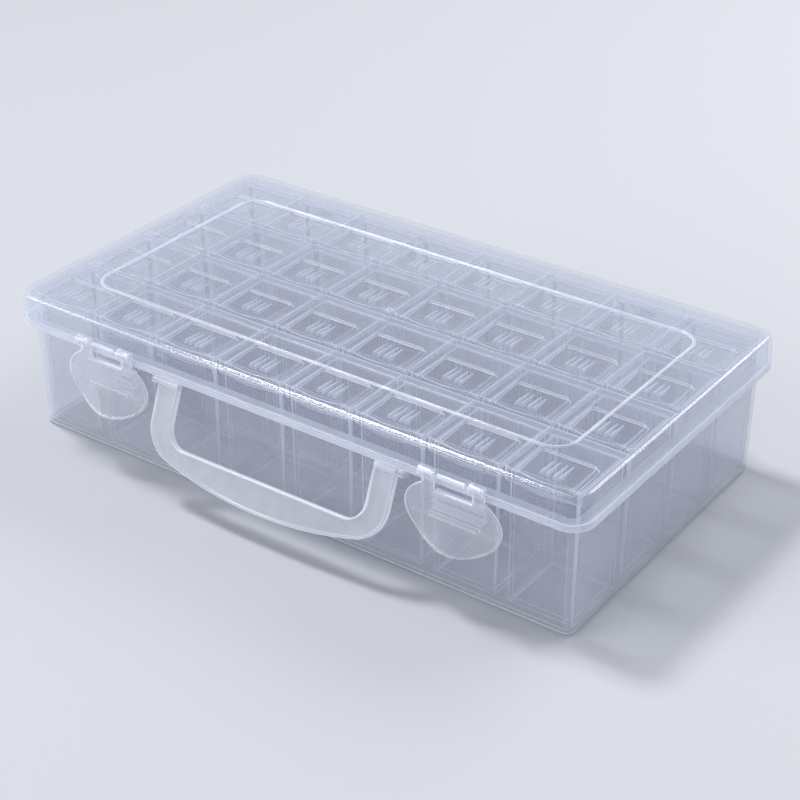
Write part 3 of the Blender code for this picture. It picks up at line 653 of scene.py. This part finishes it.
def caseBaseMesh():
    s = tub
    wall, ease, curve, reach, top = s["wall"], s["ease"], s["round"], case["reach"], case["baseTop"]
    under = top - s["flange"]
    path = []
    for step in range(9):
        turn = math.radians(11.25 * step)
        out = -s["draft"] - s["foot"] * (1 - math.sin(turn))
        path.append((out, s["foot"] * (1 - math.cos(turn))))
    path += [(0, under - curve), (curve * 0.3, under - curve * 0.3), (curve, under)]
    path += [(reach - ease, under), (reach, under + ease)]
    path += [(reach, top - ease), (reach - ease, top)]
    path += [(-wall + ease, top), (-wall, top - ease)]
    for step in range(5):
        turn = math.radians(90 - 22.5 * step)
        inset = wall + s["draft"] + s["footInside"] * (1 - math.sin(turn))
        path.append((-inset, wall + s["footInside"] * (1 - math.cos(turn))))
    loops = []
    for out, z in path:
        corner = max(case["corner"] + out, s["leastCorner"])
        loops.append(roundedLoop(case["wallX"] + out, case["wallY"] + out, corner, 9, z))
    shell = loftedSolid("case base", loops)

    inside = rimY - wall / 2
    eye = arcPoints(hinge["y"], hinge["z"], hinge["radius"], 270, 540, 24)
    outline = [(inside, top - ease), (inside, under + ease), *eye]
    outline.append((hinge["y"] - hinge["radius"], top - ease))
    for side in (-1, 1):
        middle = side * hinge["spread"]
        for hand in (-1, 1):
            start = middle + hand * (hinge["lidKnuckle"] / 2 + case["gap"])
            xs = sorted((start, start + hand * hinge["baseKnuckle"]))
            shaped(shell, "UNION", sideProfile("base knuckle", outline, xs))
        long = hinge["lidKnuckle"] / 2 + hinge["baseKnuckle"] + 2 * mm
        xs, radius = (middle - long, middle + long), hinge["pin"] + case["gap"]
        bore = roundBar("base bore", radius, xs, hinge["y"], hinge["z"], 0, 24)
        shaped(shell, "DIFFERENCE", bore)

    earIn, earLip, earTop = -case["wallY"] + wall / 2, -rimY + wall / 2, under + 0.4 * mm
    eye = arcPoints(handle["y"], handle["z"], s["earRadius"], 180, 270, 10)
    outline = [(earIn, earTop), (earLip, earTop), *eye]
    outline.append((earIn, handle["z"] - s["earRadius"]))
    for side in (-1, 1):
        xs = sorted((side * s["earX"], side * (s["earX"] + s["earWidth"])))
        shaped(shell, "UNION", sideProfile("ear", outline, xs))
        xs = sorted((side * (s["earX"] - 0.15 * mm), side * (s["earX"] + s["earWidth"] + 1 * mm)))
        radius = handle["pin"] + case["gap"]
        bore = roundBar("ear bore", radius, xs, handle["y"], handle["z"], 0, 20)
        shaped(shell, "DIFFERENCE", bore)

    high, low = s["catchTop"], s["catchTop"] - s["catchHeight"]
    face, groove = s["catchFace"], s["catchFace"] + s["catchGroove"]
    inside = -case["wallY"] + s["draft"] + 0.4 * mm
    step = (s["catchHeight"] - s["catchRib"]) / 2
    outline = [(inside, low), (inside, high)]
    for rib in range(3):
        ribTop = high - rib * step
        ribBottom = ribTop - s["catchRib"]
        outline += [(groove, ribTop)] if rib else []
        outline += [(face, ribTop), (face, ribBottom)]
        outline += [(groove, ribBottom)] if rib < 2 else []
    for side in (-1, 1):
        xs = (side * latch["x"] - s["catchWidth"] / 2, side * latch["x"] + s["catchWidth"] / 2)
        shaped(shell, "UNION", sideProfile("catch", outline, xs))
    return finishedMesh(shell)


# The tub's roundings, its foot most of all, are painted milkier, a painted glow on its edges
baseMesh = dressed(caseBaseMesh(), basePlastic, deepest=5, paintedEdgeGlow=12, narrow=0.45)
placePiece("caseBase", baseMesh, (0, 0, 0), "tub", ["case_base"])
print("case base ready")

lidShape = {
    "wall": 1.2 * mm,
    "draft": 0.4 * mm,
    "round": 1.8 * mm,
    "ease": 0.2 * mm,
    "ridgeX": 17.1 * mm,  # from the lid's edge in to the ridge
    "ridgeY": 18.4 * mm,
    "ridgeCorner": 8.0 * mm,
    "ridgeWidth": 1.2 * mm,
    "ridgeHeight": 0.5 * mm,
    "gateRadius": 1.1 * mm,  # the gate is the scar where the plastic was let in
    "gateRows": ((1, -0.4), (1, 0.1), (0.8, 0.3), (0.45, 0.42), (0.4, 0.3)),
    "lug": 1.2 * mm,
    "lugHalf": 0.9 * mm,
}


def caseLidMesh():
    s = lidShape
    low, top = case["lidBottom"], case["lidTop"]
    wall, curve, ease = s["wall"], s["round"], s["ease"]
    cornerOut = case["corner"] + case["reach"]

    def ringAt(inset, z):
        return roundedLoop(rimX - inset, rimY - inset, max(cornerOut - inset, 1 * mm), 10, z)

    loops = []
    innerTop = top - wall
    innerCurve = 0.6 * curve
    for step in range(5):  # inside, from the underside of the top down to the seam
        turn = math.radians(22.5 * step)
        inset = wall + s["draft"] + innerCurve * (1 - math.sin(turn))
        loops.append(ringAt(inset, innerTop - innerCurve * (1 - math.cos(turn))))
    loops += [ringAt(wall, low + ease), ringAt(wall - ease, low)]
    loops += [ringAt(ease, low), ringAt(0, low + ease)]
    for step in range(6):
        turn = math.radians(18 * step)
        inset = s["draft"] + curve * (1 - math.cos(turn))
        loops.append(ringAt(inset, top - curve * (1 - math.sin(turn))))
    for step in range(7):  # the ridge is half a round bead
        turn = math.radians(180 - 30 * step)
        inset = s["ridgeWidth"] / 2 * (1 + math.cos(turn))
        z = top + s["ridgeHeight"] * math.sin(turn)
        halfX, halfY = rimX - s["ridgeX"] - inset, rimY - s["ridgeY"] - inset
        loops.append(roundedLoop(halfX, halfY, s["ridgeCorner"] - inset, 10, z))
    shell = loftedSolid("case lid", loops)
    gate = []
    turns = [math.tau * side / 24 for side in range(24)]
    for share, height in s["gateRows"]:
        r = s["gateRadius"] * share
        gate.append([(r * math.cos(a), r * math.sin(a), top + height * mm) for a in turns])
    shaped(shell, "UNION", loftedSolid("gate", gate))

    inside = rimY - wall / 2
    over = low + 0.4 * mm
    meet = math.degrees(math.asin((over - hinge["z"]) / hinge["radius"]))
    eye = arcPoints(hinge["y"], hinge["z"], hinge["radius"], 180 - meet, 450, 24)
    outline = [(inside, hinge["z"] + hinge["radius"]), (inside, over), *eye]
    half = hinge["lidKnuckle"] / 2
    for side in (-1, 1):
        middle = side * hinge["spread"]
        knuckle = sideProfile("lid knuckle", outline, (middle - half, middle + half))
        reach = half + case["gap"] + hinge["baseKnuckle"]
        xs, tip = (middle - reach, middle + reach), 0.1 * mm
        pin = roundBar("lid pin", hinge["pin"], xs, hinge["y"], hinge["z"], tip, 24)
        shaped(shell, "UNION", knuckle, pin)

    inner = latch["armsHalf"] - latch["arm"] - case["gap"]
    for side in (-1, 1):
        middle = side * latch["x"]
        for hand in (-1, 1):
            xs = sorted((middle + hand * inner, middle + hand * (inner - s["lug"])))
            lug = block(
                "latch lug",
                (xs[0], latch["y"] - latch["bar"], latch["z"] - s["lugHalf"]),
                (xs[1], -rimY + wall - 0.4 * mm, latch["z"] + s["lugHalf"]),
            )
            shaped(shell, "UNION", lug)
        xs, tip = (middle - latch["armsHalf"], middle + latch["armsHalf"]), 0.1 * mm
        bar = roundBar("latch bar", latch["bar"], xs, latch["y"], latch["z"], tip, 24)
        shaped(shell, "UNION", bar)
    return finishedMesh(shell)


# The lid's narrow roundings are painted milkier, a painted glow on its edges
lidTopMesh = dressed(caseLidMesh(), lidPlastic, deepest=9, paintedEdgeGlow=6, narrow=0.55)
placePiece("caseLid", lidTopMesh, (0, 0, 0), "lid", ["case_lid"])
print("case lid ready")


def insetOutline(outline, inset):
    moved = []
    for i, (x, z) in enumerate(outline):
        before, after = outline[i - 1], outline[(i + 1) % len(outline)]
        a = Vector((x - before[0], z - before[1])).normalized()
        b = Vector((after[0] - x, after[1] - z)).normalized()
        across = Vector((-a.y - b.y, a.x + b.x)).normalized()
        stretch = max(0.5, across.dot(Vector((-a.y, a.x))))
        moved.append((x + across.x * inset / stretch, z + across.y * inset / stretch))
    return moved


# A plate in the XZ plane that faces -Y. Its rings hold (inset, front drop, back drop), from the
# edge inwards, and backAt gives where its back stands
def reliefPlate(name, outline, rings, pitch, backAt, thickness):
    bm = bmesh.new()
    mark = bm.verts.layers.float.new("inset")
    rows = []
    for inset, front, back in rings:
        row = [bm.verts.new((x, 0, z)) for x, z in insetOutline(outline, inset)]
        for vertex in row:
            vertex[mark] = inset
        rows.append(row)
    for outer, inner in zip(rows, rows[1:]):
        for i, corner in enumerate(outer):
            j = (i + 1) % len(outer)
            bm.faces.new((corner, outer[j], inner[j], inner[i]))
    bm.faces.new(rows[-1])
    for axis in (0, 2):
        normal = (1, 0, 0) if axis == 0 else (0, 0, 1)
        values = [vertex.co[axis] for vertex in bm.verts]
        count = int((max(values) - min(values)) / pitch)
        for step in range(1, count):
            point = [0, 0, 0]
            point[axis] = min(values) + (max(values) - min(values)) * step / count
            parts = bm.verts[:] + bm.edges[:] + bm.faces[:]
            bmesh.ops.bisect_plane(bm, geom=parts, dist=1e-7, plane_co=point, plane_no=normal)
    bmesh.ops.recalc_face_normals(bm, faces=bm.faces)
    bm.verts.index_update()

    def dropAt(inset, which):
        for (lowInset, *lowDrops), (highInset, *highDrops) in zip(rings, rings[1:]):
            if inset <= highInset:
                share = (inset - lowInset) / (highInset - lowInset)
                return lowDrops[which] + (highDrops[which] - lowDrops[which]) * max(0, share)
        return rings[-1][1 + which]

    solid = bmesh.new()
    fronts, backs = [], []
    for vertex in bm.verts:
        x, z = vertex.co.x, vertex.co.z
        back = backAt(x, z)
        fronts.append(solid.verts.new((x, back - thickness + dropAt(vertex[mark], 0), z)))
        backs.append(solid.verts.new((x, back - dropAt(vertex[mark], 1), z)))
    for face in bm.faces:
        around = [vertex.index for vertex in face.verts]
        solid.faces.new([fronts[i] for i in around])
        solid.faces.new([backs[i] for i in reversed(around)])
    for edge in bm.edges:
        if len(edge.link_faces) == 1:
            i, j = [vertex.index for vertex in edge.verts]
            solid.faces.new((fronts[i], fronts[j], backs[j], backs[i]))
    bm.free()
    return objectFrom(solid, name)


def latchMesh():
    s = latch
    half, slotX = s["armsHalf"] - s["armStep"], s["armsHalf"] - s["arm"] + s["armStep"]
    shoulder = math.acos(half / s["halfWidth"])
    outline = []
    for step in range(73):
        angle = math.pi - shoulder + (math.pi + 2 * shoulder) * step / 72
        height = s["discRise"] if math.sin(angle) > 0 else s["discDrop"]
        x, z = s["halfWidth"] * math.cos(angle), height * math.sin(angle) - s["discCentre"]
        outline.append((x, z))
    for side in (1, -1):
        arm = [(side * half, -s["bar"]), (side * slotX, -s["bar"]), (side * slotX, -s["slotDrop"])]
        outline += arm if side > 0 else reversed(arm)

    def backAt(x, z):
        top = s["discCentre"] + s["discDrop"] - s["flareDrop"]
        down = max(0, (-z - top) / s["flareDrop"])
        across = max(0, 1 - (x / s["flareHalf"]) ** 2)
        return s["knuckle"] - s["flare"] * down * across

    rings = [tuple(v * mm for v in ring) for ring in s["rings"]]
    plate = reliefPlate("latch plate", outline, rings, s["pitch"], backAt, s["thickness"])
    for hand in (-1, 1):
        xs = sorted((hand * (s["armsHalf"] - s["arm"]), hand * s["armsHalf"]))
        shaped(plate, "UNION", roundBar("latch knuckle", s["knuckle"], xs, 0, 0, 0.2 * mm, 28))
    reach = s["armsHalf"] + 2 * mm
    bore = roundBar("latch bore", s["bar"] + case["gap"], (-reach, reach), 0, 0, 0, 20)
    shaped(plate, "DIFFERENCE", bore)
    hookTop = tub["catchTop"] - tub["catchHeight"] - case["gap"] - s["z"]
    hook = block(
        "hook",
        (-tub["catchWidth"] / 2, s["knuckle"] - 0.4 * mm, hookTop - s["hookHeight"]),
        (tub["catchWidth"] / 2, s["knuckle"] + s["hookReach"], hookTop),
    )
    return finishedMesh(shaped(plate, "UNION", hook))


def handleMesh():
    s = handle
    half, corner, windowCorner = s["halfWidth"], s["corner"], s["windowCorner"]
    drop = s["reach"] - s["grip"] - windowCorner
    cornerX, fall = half - corner, s["reach"] - drop
    bow = (fall**2 + cornerX**2 - corner**2) / (2 * (fall - corner))
    lean = math.degrees(math.atan2(cornerX, bow - fall))
    windowX = half - s["leg"] - windowCorner
    outline = [
        (half, 0),
        *arcPoints(cornerX, -drop, corner, 0, lean - 90, 14),
        *arcPoints(0, bow - s["reach"], bow, lean - 90, -90 - lean, 26)[1:-1],
        *arcPoints(-cornerX, -drop, corner, -90 - lean, -180, 14),
        (-half, 0),
        (-half + s["leg"], 0),
        *arcPoints(-windowX, -drop, windowCorner, -180, -90, 10),
        *arcPoints(windowX, -drop, windowCorner, -90, 0, 10),
        (half - s["leg"], 0),
    ]
    outline.reverse()
    rings = [tuple(v * mm for v in ring) for ring in s["rings"]]
    thick = s["thickness"]
    plate = reliefPlate("handle plate", outline, rings, s["pitch"], lambda x, z: thick / 2, thick)
    for side in (-1, 1):
        xs = sorted((side * (half - s["leg"]), side * half))
        knuckle = roundBar("handle knuckle", s["knuckle"], xs, 0, 0, 0.25 * mm, 28)
        xs = sorted((side * (half - 0.4 * mm), side * (tub["earX"] + tub["earWidth"])))
        pin = roundBar("handle pin", s["pin"], xs, 0, 0, 0.1 * mm, 20)
        shaped(plate, "UNION", knuckle, pin)
    mesh = finishedMesh(plate)
    mesh.transform(Matrix.Rotation(math.radians(-s["tilt"]), 4, "X"))
    return mesh


latchBody = dressed(latchMesh(), latchPlastic, deepest=6)
place = (-latch["x"], latch["y"], latch["z"])
placePiece("latchLeft", latchBody, place, "left_latch", ["latch_left"])
place = (latch["x"], latch["y"], latch["z"])
placePiece("latchRight", latchBody, place, "right_latch", ["latch_right"])
handleBody = dressed(handleMesh(), handlePlastic, deepest=6)
place = (0, handle["y"], handle["z"])
placePiece("carryHandle", handleBody, place, "handle", ["carry_handle"])
print("latches and handle ready")

# The camera stands where the photograph was taken from
view = {
    "place": (313.25 * mm, -431.89 * mm, 329.60 * mm),
    "target": (26.80 * mm, -31.75 * mm, 40.79 * mm),
    "lens": 85.6,
}
cameraData = bpy.data.cameras.new("camera")
cameraData.lens = view["lens"]
cameraData.sensor_width = 36
camera = bpy.data.objects.new("camera", cameraData)
scene.collection.objects.link(camera)
camera.location = view["place"]
aim = Vector(view["target"]) - Vector(view["place"])
camera.rotation_euler = aim.to_track_quat("-Z", "Y").to_euler()
scene.camera = camera

# A plain pale floor and soft light
floorMesh = bpy.data.meshes.new("floor")
floorMesh.from_pydata([(-6, -6, 0), (6, -6, 0), (6, 6, 0), (-6, 6, 0)], [], [(0, 1, 2, 3)])
floor = bpy.data.objects.new("floor", floorMesh)
scene.collection.objects.link(floor)
floorPaint = bpy.data.materials.new("paleFloor")
floorPaint.use_nodes = True
paint = floorPaint.node_tree.nodes["Principled BSDF"]
paint.inputs["Base Color"].default_value = linearColour("#B1B3B9")
paint.inputs["Roughness"].default_value = 0.7
floorMesh.materials.append(floorPaint)

lights = [
    ("overhead lamp", "SUN", (-0.5, 0.05, 0.85), 2.3, math.radians(12)),
    ("back softbox", "AREA", (0.3, 0.7, 0.65), 5.0, (0.7, 0.4)),
    ("front softbox", "AREA", (-0.8, -0.85, 0.5), 9.0, (0.8, 0.7)),
]
for name, kind, place, power, size in lights:
    lamp = bpy.data.lights.new(name, kind)
    lamp.energy = power
    if kind == "SUN":
        lamp.angle = size
    else:
        lamp.shape = "RECTANGLE"
        lamp.size, lamp.size_y = size
    lampObject = bpy.data.objects.new(name, lamp)
    scene.collection.objects.link(lampObject)
    lampObject.location = place
    aim = Vector((0, 0, 0.02)) - Vector(place)
    lampObject.rotation_euler = aim.to_track_quat("-Z", "Y").to_euler()
world = bpy.data.worlds.new("studio")
world.use_nodes = True
sky = world.node_tree.nodes["Background"]
sky.inputs["Color"].default_value = linearColour("#E3E6EC")
sky.inputs["Strength"].default_value = 0.6
scene.world = world
# Light has to pass through every box and lid, but it needn't bounce often
scene.cycles.transparent_max_bounces = 64
scene.cycles.max_bounces = 4
scene.cycles.diffuse_bounces = 2
scene.cycles.glossy_bounces = 2
scene.view_settings.view_transform = "Standard"
print("camera and light ready")
